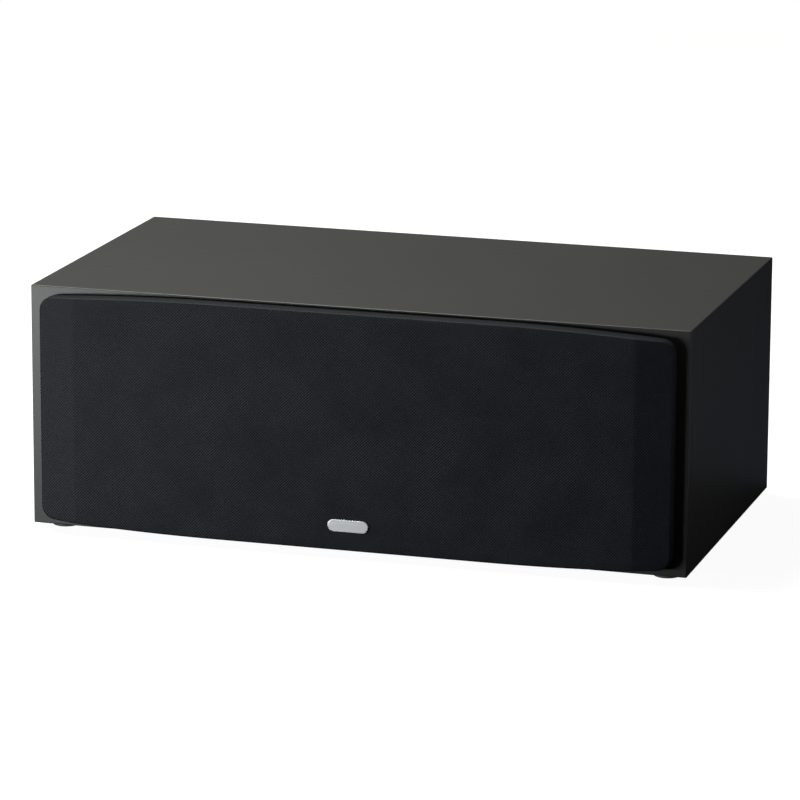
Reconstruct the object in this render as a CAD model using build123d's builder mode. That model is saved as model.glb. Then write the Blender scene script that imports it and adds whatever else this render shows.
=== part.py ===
from build123d import *
import os
from math import cos, radians, sin, tan

# Center channel speaker: a board cabinet with two woofers and a tweeter behind a cloth grille.
# Millimetres. The front faces -Y, +X is the viewer's right and +Z is up.
# The origin is on the floor, under the middle of the whole part.

# Cabinet
wall = 15.0  # top, bottom and side panels
cabinet_depth = 258.0
edge_radius = 0.8  # eased outer edges of the wrap
baffle_thickness = 18.0
rear_thickness = 15.0
end_margin = 44.0  # from a woofer's rim to the cabinet's side
rim_margin = 1.5  # baffle left between a woofer's rim and the top or bottom panel
driver_gap = 3.0  # baffle left between two drivers
driver_clearance = 0.3  # round each driver and insert in its cut-out
brace_thickness = 12.0
brace_rail = 24.0  # board left round a brace's window
brace_gap = 2.0  # between a brace and a woofer's basket
window_corner = 14.0
wadding_thickness = 20.0
wadding_margin = 6.0
wadding_corner = 6.0

# Feet
foot_radius = 10.0
foot_height = 4.0
foot_inset = 18.0  # from the cabinet's faces to a foot's centre
foot_round = 1.2

# Grille
grille_gap = 1.0  # between the frame's back and the baffle
grille_depth = 12.0  # frame and cloth, over the middle
grille_end_depth = 8.0  # the same at the bevelled ends
grille_side_inset = 9.4
grille_top_inset = 2.2  # over the straight middle
grille_end_drop = 4.5  # how far the top and bottom edges draw in at the ends
grille_straight = 100.0  # half of the straight middle
grille_corner = 10.0
grille_round = 1.5  # rounded front edge
crease_offset = 8.0  # from a woofer's rim to the crease bar
crease_radius = 15.0
cloth_thickness = 0.7
frame_rim = 9.0
frame_wall = 2.5  # walls on both sides of the groove in the rim's back
groove_floor = 2.3
bar_width = 7.0
bar_depth = 4.0
badge_width = 30.0
badge_height = 9.0
badge_thickness = 1.2
badge_round = 0.5
badge_rise = 20.5  # from the cabinet's underside to the badge's centre
badge_tab_margin = 5.0
magnet_radius = 5.0
magnet_thickness = 4.0
magnet_clearance = 0.15
boss_wall = 2.85  # plastic left round a grille magnet
boss_overlap = 1.0  # of a boss and the crease bar beside it
corner_magnet_rise = 50.0  # above and below the middle
inner_magnet_margin = 8.0  # from the baffle's edge

# Woofers: depths count back from the baffle's face
woofer_radius = 71.0
woofer_rim = 4.0
woofer_rim_width = 9.3
basket_wall = 2.8
basket_collar = 9.0  # depth where the basket starts to taper
basket_foot_bore = 22.0
spoke_count = 6
spoke_width = 12.0
seat_depth = 2.2  # ledge under the surround
seat_overlap = 0.8  # ledge beyond the basket's body
surround_thickness = 1.0
surround_flange = 5.3
roll_width = 9.0
roll_height = 4.0
lip_width = 4.5
cone_thickness = 1.0
cone_depth = 21.3
neck_length = 3.5
cap_radius = 19.0
cap_height = 6.0
cap_thickness = 0.8
glue_gap = 0.1
coil_radius = 12.6  # inside of the former
former_wall = 0.5
winding_wall = 0.6
winding_length = 11.0
former_rise = 2.5  # former above the cone's neck
coil_clearance = 0.55  # in the magnet's gap, on both sides
spider_radius = 40.0
spider_seat = 3.5
spider_depth = 30.6
spider_thickness = 0.6
spider_wave = 1.4
spider_rolls = 5
spider_land = 2.7  # flat ring at the spider's middle
plate_depth = 48.0  # front of the woofer's top plate
plate_radius = 38.0
plate_thickness = 6.0
woofer_magnet_inner = 19.0
woofer_magnet_radius = 43.0
woofer_magnet_thickness = 18.0
back_plate_thickness = 7.0
pole_setback = 1.0  # pole below the top plate's front
pole_vent = 4.0

# Tweeter
tweeter_radius = 52.0
tweeter_rim = 4.0
tweeter_body_radius = 37.7
horn_mouth = 40.0
horn_depth = 7.0
dome_radius = 13.0
dome_height = 5.0
dome_thickness = 0.4
dome_roll = 3.0
dome_flange = 6.0
tweeter_flange_depth = 10.0
tweeter_film = 0.5
tweeter_former = 0.6
tweeter_coil_length = 4.4
tweeter_plate_radius = 32.0
tweeter_plate_thickness = 4.0
tweeter_magnet_inner = 18.0
tweeter_magnet_radius = 36.0
tweeter_magnet_thickness = 11.0
tweeter_back_thickness = 4.0

# Screws
screw_radius = 1.7
screw_length = 16.0
screw_head_radius = 3.4
screw_head_height = 1.8
screw_head_round = 0.8
screw_clearance = 0.15
screw_edge = 4.3  # from a rim's edge to its screws
woofer_screws = 6
tweeter_screws = 4
cup_screw_length = 12.0

# Port
port_x = -110.0
port_radius = 25.0
port_wall = 2.5
port_length = 125.0
port_flare = 10.0
port_flange = 12.0
port_flange_thickness = 3.0
port_collar_step = 3.5  # collar behind the flare, beyond the tube

# Terminals and crossover
terminal_x = 110.0
cup_width = 96.0
cup_height = 72.0
cup_corner = 8.0
cup_plate = 3.0
cup_rim = 10.0
cup_wall = 2.5
cup_depth = 25.0
cup_draft = 4.0
post_spacing = 19.0
post_radius = 3.25
post_bore = 2.0
post_bore_depth = 14.0
post_collar_radius = 5.5
post_collar = 3.0
post_length = 17.0  # beyond the collar
post_nut_radius = 5.0
post_nut = 4.0
tail_radius = 2.0
tail_rise = 1.0  # tail beyond the crossover board
insert_wall = 1.6
thread_clearance = 0.3
knob_wall = 2.2
knob_length = 16.0
knob_cap = 2.0
knob_round = 1.0
board_width = 88.0
board_height = 84.0
board_thickness = 1.6
board_boss_radius = 4.0
board_boss = 7.0
coil_form_radius = 16.0
coil_form_hole = 7.0
coil_form_height = 16.0
capacitor_radius = 8.0
capacitor_length = 34.0
resistor_length = 26.0
resistor_side = 9.0
coil_flange = 1.5
part_gap = 4.0  # between crossover parts
lead_radius = 1.4
lead_gap = 0.3  # between a lead's end and the tab that it is soldered to
lead_bend = 9.0
lead_edge = 3.0  # from the board's edges to a lead

# Sizes that follow from those above
woofer_x = tweeter_radius + driver_gap + woofer_radius
cabinet_width = 2 * (woofer_x + woofer_radius + end_margin)
cabinet_height = 2 * (woofer_radius + rim_margin + wall)
inner_width = cabinet_width - 2 * wall
inner_height = cabinet_height - 2 * wall
front_reach = grille_gap + grille_depth + badge_thickness
front_y = front_reach - (cabinet_depth + front_reach) / 2
rear_y = front_y + cabinet_depth
centre_z = foot_height + cabinet_height / 2
woofers = {"left": -woofer_x, "right": woofer_x}

basket_radius = woofer_radius - woofer_rim_width
seat_radius = basket_radius + seat_overlap
surround_radius = seat_radius - driver_clearance
roll_outer = surround_radius - surround_flange
roll_inner = roll_outer - roll_width
opening_radius = roll_outer - surround_thickness / 2
lip_inner = roll_inner - lip_width
former_outer = coil_radius + former_wall
winding_outer = former_outer + winding_wall
neck_inner = former_outer + glue_gap
neck_outer = neck_inner + cone_thickness
neck_depth = seat_depth + cone_depth
magnet_depth = plate_depth + plate_thickness
yoke_depth = magnet_depth + woofer_magnet_thickness

grille_half_width = cabinet_width / 2 - grille_side_inset
grille_half_height = cabinet_height / 2 - grille_top_inset
crease_x = woofer_x + woofer_radius + crease_offset
inner_bar_x = tweeter_radius + driver_gap / 2
boss_radius = magnet_radius + magnet_clearance + boss_wall
corner_magnet_x = crease_x + bar_width / 2 + boss_radius - boss_overlap
inner_magnet_z = inner_height / 2 - inner_magnet_margin
badge_z = badge_rise - cabinet_height / 2

cup_inner_width = cup_width - 2 * cup_rim
cup_inner_height = cup_height - 2 * cup_rim
cup_body_width = cup_inner_width + 2 * cup_wall
cup_body_height = cup_inner_height + 2 * cup_wall
cup_floor_back = cup_depth + cup_wall
cup_floor_inset = (cup_floor_back - cup_plate) * tan(radians(cup_draft)) + board_boss_radius + cup_wall
board_depth = cup_floor_back + board_boss
board_face = board_depth + board_thickness

os.makedirs("parts", exist_ok=True)


def ring_places(radius, count, start=0.0):
    """Points evenly spaced on a circle, the first at the start angle."""
    angles = [radians(start + 360 * step / count) for step in range(count)]
    return [(radius * cos(angle), radius * sin(angle)) for angle in angles]


def corner_places(x, y):
    """The four points that lie x and y away from the middle."""
    return [(side * x, rise * y) for side in (-1, 1) for rise in (-1, 1)]


def corner_loop(x, y):
    """The same four points in turn, from the upper left."""
    return [(-x, y), (x, y), (x, -y), (-x, -y)]


def keep(piece, name):
    """Labels a finished piece and writes it."""
    piece.part.label = name
    export_step(piece.part, f"parts/{name}.step")


def from_front(depth, x=0.0):
    """A plane behind the baffle's face, looking out of the front, with its own Y upwards."""
    return Plane(origin=(x, front_y + depth, centre_z), x_dir=(1, 0, 0), z_dir=(0, -1, 0))


def from_rear(depth, x=0.0):
    """A plane in front of the rear face, looking out of the back, with its own Y upwards."""
    return Plane(origin=(x, rear_y - depth, centre_z), x_dir=(-1, 0, 0), z_dir=(0, 1, 0))


def section(x):
    """A level plane through a driver's axis: radius along X, depth from the baffle's face along Y."""
    return Plane(origin=(x, front_y, centre_z), x_dir=(1, 0, 0), z_dir=(0, 0, 1))


def rear_section(x):
    """A level plane through an axis in the rear panel: radius, and depth from the rear face inwards."""
    return Plane(origin=(x, rear_y, centre_z), x_dir=(1, 0, 0), z_dir=(0, 0, -1))


def turned(plane, *points):
    """A piece turned about the plane's Y axis from an outline of radius and depth."""
    with BuildPart() as piece:
        with BuildSketch(plane):
            with BuildLine():
                Polyline(*points, close=True)
            make_face()
        revolve(axis=Axis(plane.origin, plane.y_dir))
    return piece


# Places that several pieces share
magnet_places = corner_places(corner_magnet_x, corner_magnet_rise)
magnet_places += corner_places(inner_bar_x, inner_magnet_z)
woofer_screw_places = ring_places(woofer_radius - screw_edge, woofer_screws)
tweeter_screw_places = ring_places(tweeter_radius - screw_edge, tweeter_screws, 180 / tweeter_screws)
cup_screw_places = corner_places(cup_width / 2 - cup_rim / 2, cup_height / 2 - cup_rim / 2)
board_boss_places = corner_places(
    cup_body_width / 2 - cup_floor_inset, cup_body_height / 2 - cup_floor_inset
)

# Cabinet wrap: four panels mitred at the long edges
half_width, half_height = cabinet_width / 2, cabinet_height / 2
inner_x, inner_z = inner_width / 2, inner_height / 2
with BuildPart() as wrap:
    with BuildSketch(from_front(0)):
        Rectangle(cabinet_width, cabinet_height)
        Rectangle(inner_width, inner_height, mode=Mode.SUBTRACT)
    extrude(amount=-cabinet_depth)
    outer_edges = wrap.edges().filter_by(
        lambda edge: abs(edge.center().X) > inner_x + wall / 2
        or abs(edge.center().Z - centre_z) > inner_z + wall / 2
    )
    fillet(outer_edges, edge_radius)

outer_corners = corner_loop(half_width, half_height)
inner_corners = corner_loop(inner_x, inner_z)
for step, side in enumerate(("top", "right", "bottom", "left")):
    after = (step + 1) % 4
    corners = (outer_corners[step], outer_corners[after], inner_corners[after], inner_corners[step])
    with BuildPart() as panel:
        add(wrap.part)
        with BuildSketch(from_front(0)):
            with BuildLine():
                Polyline(*corners, close=True)
            make_face()
        extrude(amount=-cabinet_depth, mode=Mode.INTERSECT)
    keep(panel, f"cabinet_{side}")

# Front baffle with the drivers' rebates, screw holes and magnet pockets
screw_hole = screw_radius + screw_clearance
pilot_depth = screw_length - woofer_rim + screw_clearance
with BuildPart() as front_baffle:
    with BuildSketch(from_front(0)):
        Rectangle(inner_width, inner_height)
    extrude(amount=-baffle_thickness)
    with Locations(*[from_front(0, x) for x in woofers.values()]):
        CounterBoreHole(
            radius=basket_radius + driver_clearance,
            counter_bore_radius=woofer_radius + driver_clearance,
            counter_bore_depth=woofer_rim,
            depth=baffle_thickness,
        )
    with Locations(from_front(0)):
        CounterBoreHole(
            radius=tweeter_body_radius + driver_clearance,
            counter_bore_radius=tweeter_radius + driver_clearance,
            counter_bore_depth=tweeter_rim,
            depth=baffle_thickness,
        )
    for x in woofers.values():
        with BuildSketch(from_front(woofer_rim, x)):
            with Locations(*woofer_screw_places):
                Circle(screw_hole)
        extrude(amount=-pilot_depth, mode=Mode.SUBTRACT)
    with BuildSketch(from_front(tweeter_rim)):
        with Locations(*tweeter_screw_places):
            Circle(screw_hole)
    extrude(amount=-pilot_depth, mode=Mode.SUBTRACT)
    with BuildSketch(from_front(0)):
        with Locations(*magnet_places):
            Circle(magnet_radius + magnet_clearance)
    extrude(amount=-magnet_thickness, mode=Mode.SUBTRACT)
keep(front_baffle, "front_baffle")

with BuildPart() as baffle_magnets:
    with BuildSketch(from_front(0)):
        with Locations(*magnet_places):
            Circle(magnet_radius)
    extrude(amount=-magnet_thickness)
keep(baffle_magnets, "baffle_magnets")

# Rear panel with the port's and the terminal cup's cut-outs
port_outer = port_radius + port_wall
port_collar = port_outer + port_collar_step
port_flange_radius = port_radius + port_flange
with BuildPart() as rear_panel:
    with BuildSketch(from_rear(0)):
        Rectangle(inner_width, inner_height)
    extrude(amount=-rear_thickness)
    with Locations(from_rear(0, port_x)):
        CounterBoreHole(
            radius=port_collar + driver_clearance,
            counter_bore_radius=port_flange_radius + driver_clearance,
            counter_bore_depth=port_flange_thickness,
            depth=rear_thickness,
        )
    with BuildSketch(from_rear(0, terminal_x)):
        RectangleRounded(cup_width + 2 * driver_clearance, cup_height + 2 * driver_clearance, cup_corner)
    extrude(amount=-cup_plate, mode=Mode.SUBTRACT)
    with BuildSketch(from_rear(0, terminal_x)):
        RectangleRounded(
            cup_body_width + 2 * driver_clearance, cup_body_height + 2 * driver_clearance, cup_corner
        )
    extrude(amount=-rear_thickness, mode=Mode.SUBTRACT)
    with BuildSketch(from_rear(cup_plate, terminal_x)):
        with Locations(*cup_screw_places):
            Circle(screw_hole)
    extrude(amount=-rear_thickness, mode=Mode.SUBTRACT)
keep(rear_panel, "rear_panel")

# Window braces between the tweeter's chamber and the woofers' chambers
brace_x = woofer_x - basket_radius - brace_gap - brace_thickness / 2
brace_depth = cabinet_depth - baffle_thickness - rear_thickness
brace_y = front_y + baffle_thickness + brace_depth / 2
for side, x in (("left", -brace_x), ("right", brace_x)):
    with BuildPart() as brace:
        with BuildSketch(Plane(origin=(x, brace_y, centre_z), x_dir=(0, 1, 0), z_dir=(1, 0, 0))):
            Rectangle(brace_depth, inner_height)
            RectangleRounded(
                brace_depth - 2 * brace_rail,
                inner_height - 2 * brace_rail,
                window_corner,
                mode=Mode.SUBTRACT,
            )
        extrude(amount=brace_thickness / 2, both=True)
    keep(brace, f"brace_{side}")

# Damping wadding on the inside of the side panels
wadding_x = inner_width / 2 - wadding_thickness / 2
for side, x in (("left", -wadding_x), ("right", wadding_x)):
    with BuildPart() as wadding:
        with BuildSketch(Plane(origin=(x, brace_y, centre_z), x_dir=(0, 1, 0), z_dir=(1, 0, 0))):
            RectangleRounded(
                brace_depth - 2 * wadding_margin, inner_height - 2 * wadding_margin, wadding_corner
            )
        extrude(amount=wadding_thickness / 2, both=True)
    keep(wadding, f"wadding_{side}")

# Rubber feet, rounded at the floor
foot_x = cabinet_width / 2 - foot_inset
feet = {
    "front_left": (-foot_x, front_y + foot_inset),
    "front_right": (foot_x, front_y + foot_inset),
    "rear_left": (-foot_x, rear_y - foot_inset),
    "rear_right": (foot_x, rear_y - foot_inset),
}
for place, (x, y) in feet.items():
    with BuildPart() as foot:
        with BuildSketch(Plane(origin=(x, y, 0))):
            Circle(foot_radius)
        extrude(amount=foot_height)
        fillet(foot.edges().sort_by(Axis.Z)[0], foot_round)
    keep(foot, f"foot_{place}")


# Grille: a barrel outline, flat in the middle and bevelled at both ends
def barrel_face(shrink):
    """The grille's outline seen from the front, drawn in by shrink all round."""
    end_x = grille_half_width - shrink
    middle_z = grille_half_height - shrink
    end_z = middle_z - grille_end_drop
    with BuildSketch() as outline:
        with BuildLine():
            Line((-grille_straight, middle_z), (grille_straight, middle_z))
            TangentArc((grille_straight, middle_z), (end_x, end_z), tangent=(1, 0))
            Line((end_x, end_z), (end_x, -end_z))
            TangentArc((grille_straight, -middle_z), (end_x, -end_z), tangent=(1, 0))
            Line((grille_straight, -middle_z), (-grille_straight, -middle_z))
            TangentArc((-grille_straight, -middle_z), (-end_x, -end_z), tangent=(-1, 0))
            Line((-end_x, -end_z), (-end_x, end_z))
            TangentArc((-grille_straight, middle_z), (-end_x, end_z), tangent=(-1, 0))
        make_face()
        corners = outline.vertices().filter_by(lambda v: abs(v.X) > end_x - frame_wall)
        fillet(corners, max(grille_corner - shrink, frame_wall))
    return outline.sketch


grille_back_y = front_y - grille_gap
bevel_slope = (grille_depth - grille_end_depth) / (grille_half_width - crease_x)


def grille_form(shrink):
    """The whole form of the grille, drawn in by shrink at its front and edges."""
    face = barrel_face(shrink)
    plan_x = grille_half_width + frame_rim
    crease_y = grille_back_y - grille_depth + shrink
    plan_y = crease_y + bevel_slope * (plan_x - crease_x)
    with BuildPart() as form:
        with BuildSketch(from_front(-grille_gap)):
            add(face)
        extrude(amount=grille_depth)
        with BuildSketch(Plane.XY.offset(centre_z)) as plan:
            with BuildLine():
                Polyline(
                    (-plan_x, grille_back_y),
                    (-plan_x, plan_y),
                    (-crease_x, crease_y),
                    (crease_x, crease_y),
                    (plan_x, plan_y),
                    (plan_x, grille_back_y),
                    close=True,
                )
            make_face()
            creases = plan.vertices().filter_by(lambda v: abs(v.X) < crease_x + 1)
            fillet(creases, crease_radius)
        extrude(amount=cabinet_height / 2, both=True, mode=Mode.INTERSECT)
        front_edges = form.edges().filter_by(
            lambda edge: edge.bounding_box().max.Y < grille_back_y - 1
            and (abs(edge.tangent_at(0.5).Z) < 0.9 or abs(edge.center().X) > grille_half_width - frame_wall)
        )
        fillet(front_edges, grille_round - shrink)
    return form


cloth_form = grille_form(0.0)
frame_form = grille_form(cloth_thickness)
with BuildPart() as grille_cloth:
    add(cloth_form.part)
    add(frame_form.part, mode=Mode.SUBTRACT)
keep(grille_cloth, "grille_cloth")

# Moulded grille frame: a grooved rim, bars behind the creases, bosses for the magnets and a badge tab
rim_face = barrel_face(cloth_thickness + frame_rim)
groove_face = barrel_face(cloth_thickness + frame_wall)
groove_core_face = barrel_face(cloth_thickness + frame_rim - frame_wall)
frame_depth = grille_depth - cloth_thickness
tab_width = badge_width + 2 * badge_tab_margin
tab_height = badge_height / 2 + badge_tab_margin + grille_half_height + badge_z
with BuildPart() as grille_frame:
    add(frame_form.part)
    with BuildSketch(from_front(-grille_gap)):
        add(rim_face)
        with Locations(*magnet_places):
            Circle(boss_radius, mode=Mode.SUBTRACT)
    extrude(amount=frame_depth - bar_depth, mode=Mode.SUBTRACT)
    with BuildSketch(from_front(-grille_gap)):
        add(rim_face)
        with Locations(*magnet_places):
            Circle(boss_radius, mode=Mode.SUBTRACT)
        with Locations((-crease_x, 0), (-inner_bar_x, 0), (inner_bar_x, 0), (crease_x, 0)):
            Rectangle(bar_width, cabinet_height, mode=Mode.SUBTRACT)
        with Locations((0, -grille_half_height)):
            Rectangle(tab_width, tab_height, align=(Align.CENTER, Align.MIN), mode=Mode.SUBTRACT)
    extrude(amount=grille_depth, mode=Mode.SUBTRACT)
    with BuildSketch(from_front(-grille_gap)):
        add(groove_face)
        add(groove_core_face, mode=Mode.SUBTRACT)
        with Locations(*magnet_places):
            Circle(boss_radius, mode=Mode.SUBTRACT)
    extrude(amount=grille_end_depth - cloth_thickness - groove_floor, mode=Mode.SUBTRACT)
    with BuildSketch(from_front(-grille_gap)):
        with Locations(*magnet_places):
            Circle(magnet_radius + magnet_clearance)
    extrude(amount=magnet_thickness - grille_gap, mode=Mode.SUBTRACT)
keep(grille_frame, "grille_frame")

with BuildPart() as grille_magnets:
    with BuildSketch(from_front(0)):
        with Locations(*magnet_places):
            Circle(magnet_radius)
    extrude(amount=magnet_thickness)
keep(grille_magnets, "grille_magnets")

with BuildPart() as grille_badge:
    with BuildSketch(from_front(-grille_gap - grille_depth)):
        with Locations((0, badge_z)):
            SlotOverall(badge_width, badge_height)
    extrude(amount=badge_thickness)
    fillet(grille_badge.faces().sort_by(Axis.Y)[0].edges(), badge_round)
keep(grille_badge, "grille_badge")


# Woofers
def cone_front(radius):
    """Depth of the cone's front face at a radius."""
    return seat_depth + cone_depth * (lip_inner - radius) / (lip_inner - neck_outer)


cup_outer = spider_radius - spider_seat + basket_wall
for side, x in woofers.items():
    plane = section(x)
    axis = Axis(plane.origin, plane.y_dir)

    # Cast basket: flat rim, tapered body with open windows, spider seat and foot
    with BuildPart() as basket:
        with BuildSketch(plane):
            with BuildLine():
                Polyline(
                    (woofer_radius, 0),
                    (woofer_radius, woofer_rim),
                    (basket_radius, woofer_rim),
                    (basket_radius, basket_collar),
                    (spider_radius + basket_wall, spider_depth),
                    (spider_radius + basket_wall, spider_depth + basket_wall),
                    (cup_outer, spider_depth + basket_wall),
                    (cup_outer, plate_depth),
                    (basket_foot_bore, plate_depth),
                    (basket_foot_bore, plate_depth - basket_wall),
                    (cup_outer - basket_wall, plate_depth - basket_wall),
                    (cup_outer - basket_wall, spider_depth),
                    (spider_radius + driver_clearance, spider_depth),
                    (spider_radius + driver_clearance, spider_depth - basket_wall),
                    (basket_radius - basket_wall, basket_collar - basket_wall / 2),
                    (basket_radius - basket_wall, seat_depth + surround_thickness),
                    (opening_radius, seat_depth + surround_thickness),
                    (opening_radius, seat_depth),
                    (seat_radius, seat_depth),
                    (seat_radius, 0),
                    close=True,
                )
            make_face()
        revolve(axis=axis)
        with BuildSketch(from_front(basket_collar - basket_wall, x)):
            Circle(basket_radius - 1.5 * basket_wall)
            Circle(spider_radius + 1.5 * basket_wall, mode=Mode.SUBTRACT)
            with PolarLocations(0, spoke_count):
                Rectangle(
                    woofer_radius, spoke_width, align=(Align.MIN, Align.CENTER), mode=Mode.SUBTRACT
                )
        extrude(amount=-spider_depth, mode=Mode.SUBTRACT)
        with BuildSketch(from_front(0, x)):
            with Locations(*woofer_screw_places):
                Circle(screw_hole)
        extrude(amount=-woofer_rim, mode=Mode.SUBTRACT)
    keep(basket, f"woofer_{side}_basket")

    trim_ring = turned(
        plane,
        (roll_outer + surround_thickness, 0),
        (surround_radius, 0),
        (surround_radius, seat_depth - surround_thickness),
        (roll_outer + surround_thickness, seat_depth - surround_thickness),
    )
    keep(trim_ring, f"woofer_{side}_trim_ring")

    # Rubber surround: flat flange, half roll and lip
    roll_middle = (roll_outer + roll_inner) / 2
    roll_top = seat_depth - surround_thickness
    half_wall = surround_thickness / 2
    with BuildPart() as surround:
        with BuildSketch(plane):
            with BuildLine():
                Polyline(
                    (roll_outer + half_wall, roll_top),
                    (surround_radius, roll_top),
                    (surround_radius, seat_depth),
                    (roll_outer - half_wall, seat_depth),
                )
                ThreePointArc(
                    (roll_outer - half_wall, seat_depth),
                    (roll_middle, seat_depth - roll_height),
                    (roll_inner + half_wall, seat_depth),
                )
                Polyline(
                    (roll_inner + half_wall, seat_depth),
                    (lip_inner, seat_depth),
                    (lip_inner, roll_top),
                    (roll_inner - half_wall, roll_top),
                )
                ThreePointArc(
                    (roll_inner - half_wall, roll_top),
                    (roll_middle, roll_top - roll_height),
                    (roll_outer + half_wall, roll_top),
                )
            make_face()
        revolve(axis=axis)
    keep(surround, f"woofer_{side}_surround")

    cone = turned(
        plane,
        (roll_inner, seat_depth),
        (roll_inner, seat_depth + cone_thickness),
        (lip_inner, seat_depth + cone_thickness),
        (neck_outer, neck_depth + cone_thickness),
        (neck_outer, neck_depth + neck_length),
        (neck_inner, neck_depth + neck_length),
        (neck_inner, neck_depth),
        (neck_outer, neck_depth),
        (lip_inner, seat_depth),
    )
    keep(cone, f"woofer_{side}_cone")

    # Dust cap: a shallow dome glued to the cone
    cap_edge = cone_front(cap_radius) - glue_gap
    cap_inner = cap_radius - cap_thickness
    with BuildPart() as dust_cap:
        with BuildSketch(plane):
            with BuildLine():
                TangentArc((0, cap_edge - cap_height), (cap_radius, cap_edge), tangent=(1, 0))
                Line((cap_radius, cap_edge), (cap_inner, cone_front(cap_inner) - glue_gap))
                TangentArc(
                    (0, cap_edge - cap_height + cap_thickness),
                    (cap_inner, cone_front(cap_inner) - glue_gap),
                    tangent=(1, 0),
                )
                Line((0, cap_edge - cap_height + cap_thickness), (0, cap_edge - cap_height))
            make_face()
        revolve(axis=axis)
    keep(dust_cap, f"woofer_{side}_dust_cap")

    coil_end = plate_depth + plate_thickness / 2 + winding_length / 2
    voice_coil = turned(
        plane,
        (coil_radius, neck_depth - former_rise),
        (former_outer, neck_depth - former_rise),
        (former_outer, coil_end - winding_length),
        (winding_outer, coil_end - winding_length),
        (winding_outer, coil_end),
        (coil_radius, coil_end),
    )
    keep(voice_coil, f"woofer_{side}_voice_coil")

    # Corrugated spider between the former and its seat in the basket
    spider_back = spider_depth
    spider_front = spider_depth - spider_thickness
    spider_inner = former_outer + glue_gap
    wave_outer = spider_radius - spider_seat
    wave_inner = spider_inner + spider_land
    wave_step = (wave_outer - wave_inner) / spider_rolls
    with BuildPart() as spider:
        with BuildSketch(plane):
            with BuildLine():
                for level in (spider_front, spider_back):
                    for roll in range(spider_rolls):
                        start = wave_outer - roll * wave_step
                        lift = spider_wave if roll % 2 else -spider_wave
                        ThreePointArc(
                            (start, level),
                            (start - wave_step / 2, level + lift),
                            (start - wave_step, level),
                        )
                Polyline(
                    (wave_outer, spider_front),
                    (spider_radius, spider_front),
                    (spider_radius, spider_back),
                    (wave_outer, spider_back),
                )
                Polyline(
                    (wave_inner, spider_front),
                    (spider_inner, spider_front),
                    (spider_inner, spider_back),
                    (wave_inner, spider_back),
                )
            make_face()
        revolve(axis=axis)
    keep(spider, f"woofer_{side}_spider")

    # Magnet: top plate, ferrite ring and a back plate with its pole
    top_plate = turned(
        plane,
        (winding_outer + coil_clearance, plate_depth),
        (plate_radius, plate_depth),
        (plate_radius, magnet_depth),
        (winding_outer + coil_clearance, magnet_depth),
    )
    keep(top_plate, f"woofer_{side}_top_plate")

    magnet = turned(
        plane,
        (woofer_magnet_inner, magnet_depth),
        (woofer_magnet_radius, magnet_depth),
        (woofer_magnet_radius, yoke_depth),
        (woofer_magnet_inner, yoke_depth),
    )
    keep(magnet, f"woofer_{side}_magnet")

    pole_radius = coil_radius - coil_clearance
    yoke = turned(
        plane,
        (pole_vent, plate_depth + pole_setback),
        (pole_radius, plate_depth + pole_setback),
        (pole_radius, yoke_depth),
        (plate_radius, yoke_depth),
        (plate_radius, yoke_depth + back_plate_thickness),
        (pole_vent, yoke_depth + back_plate_thickness),
    )
    keep(yoke, f"woofer_{side}_yoke")

# Tweeter: a faceplate with a short horn, and a soft dome over its magnet
tweeter_plane = section(0.0)
tweeter_axis = Axis(tweeter_plane.origin, tweeter_plane.y_dir)
throat_radius = dome_radius + dome_roll
film_depth = tweeter_flange_depth + tweeter_film
tweeter_magnet_depth = film_depth + tweeter_plate_thickness
tweeter_yoke_depth = tweeter_magnet_depth + tweeter_magnet_thickness
with BuildPart() as tweeter_faceplate:
    with BuildSketch(tweeter_plane):
        with BuildLine():
            Polyline(
                (horn_mouth, 0),
                (tweeter_radius, 0),
                (tweeter_radius, tweeter_rim),
                (tweeter_body_radius, tweeter_rim),
                (tweeter_body_radius, tweeter_flange_depth),
                (throat_radius, tweeter_flange_depth),
                (throat_radius, horn_depth),
            )
            TangentArc((horn_mouth, 0), (throat_radius, horn_depth), tangent=(-1, 0))
        make_face()
    revolve(axis=tweeter_axis)
    with BuildSketch(from_front(0)):
        with Locations(*tweeter_screw_places):
            Circle(screw_hole)
    extrude(amount=-tweeter_rim, mode=Mode.SUBTRACT)
keep(tweeter_faceplate, "tweeter_faceplate")

# Soft surround of the dome: a small roll and a flange under the faceplate
roll_start = dome_radius + driver_clearance
roll_end = throat_radius - tweeter_film
with BuildPart() as tweeter_surround:
    with BuildSketch(tweeter_plane):
        with BuildLine():
            roll_half = (roll_end - roll_start) / 2
            roll_centre = (roll_end + roll_start) / 2
            ThreePointArc(
                (roll_start, tweeter_flange_depth),
                (roll_centre, tweeter_flange_depth - roll_half),
                (roll_end, tweeter_flange_depth),
            )
            Polyline(
                (roll_end, tweeter_flange_depth),
                (throat_radius + dome_flange, tweeter_flange_depth),
                (throat_radius + dome_flange, film_depth),
                (roll_end - tweeter_film, film_depth),
            )
            ThreePointArc(
                (roll_end - tweeter_film, film_depth),
                (roll_centre, film_depth - roll_half),
                (roll_start + tweeter_film, film_depth),
            )
            Polyline(
                (roll_start + tweeter_film, film_depth),
                (roll_start, film_depth),
                (roll_start, tweeter_flange_depth),
            )
        make_face()
    revolve(axis=tweeter_axis)
keep(tweeter_surround, "tweeter_surround")

with BuildPart() as tweeter_dome:
    with BuildSketch(tweeter_plane):
        with BuildLine():
            dome_top = film_depth - dome_height
            TangentArc((0, dome_top), (dome_radius, film_depth), tangent=(1, 0))
            Line((dome_radius, film_depth), (dome_radius - dome_thickness, film_depth))
            TangentArc(
                (0, dome_top + dome_thickness), (dome_radius - dome_thickness, film_depth), tangent=(1, 0)
            )
            Line((0, dome_top + dome_thickness), (0, dome_top))
        make_face()
    revolve(axis=tweeter_axis)
keep(tweeter_dome, "tweeter_dome")

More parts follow.
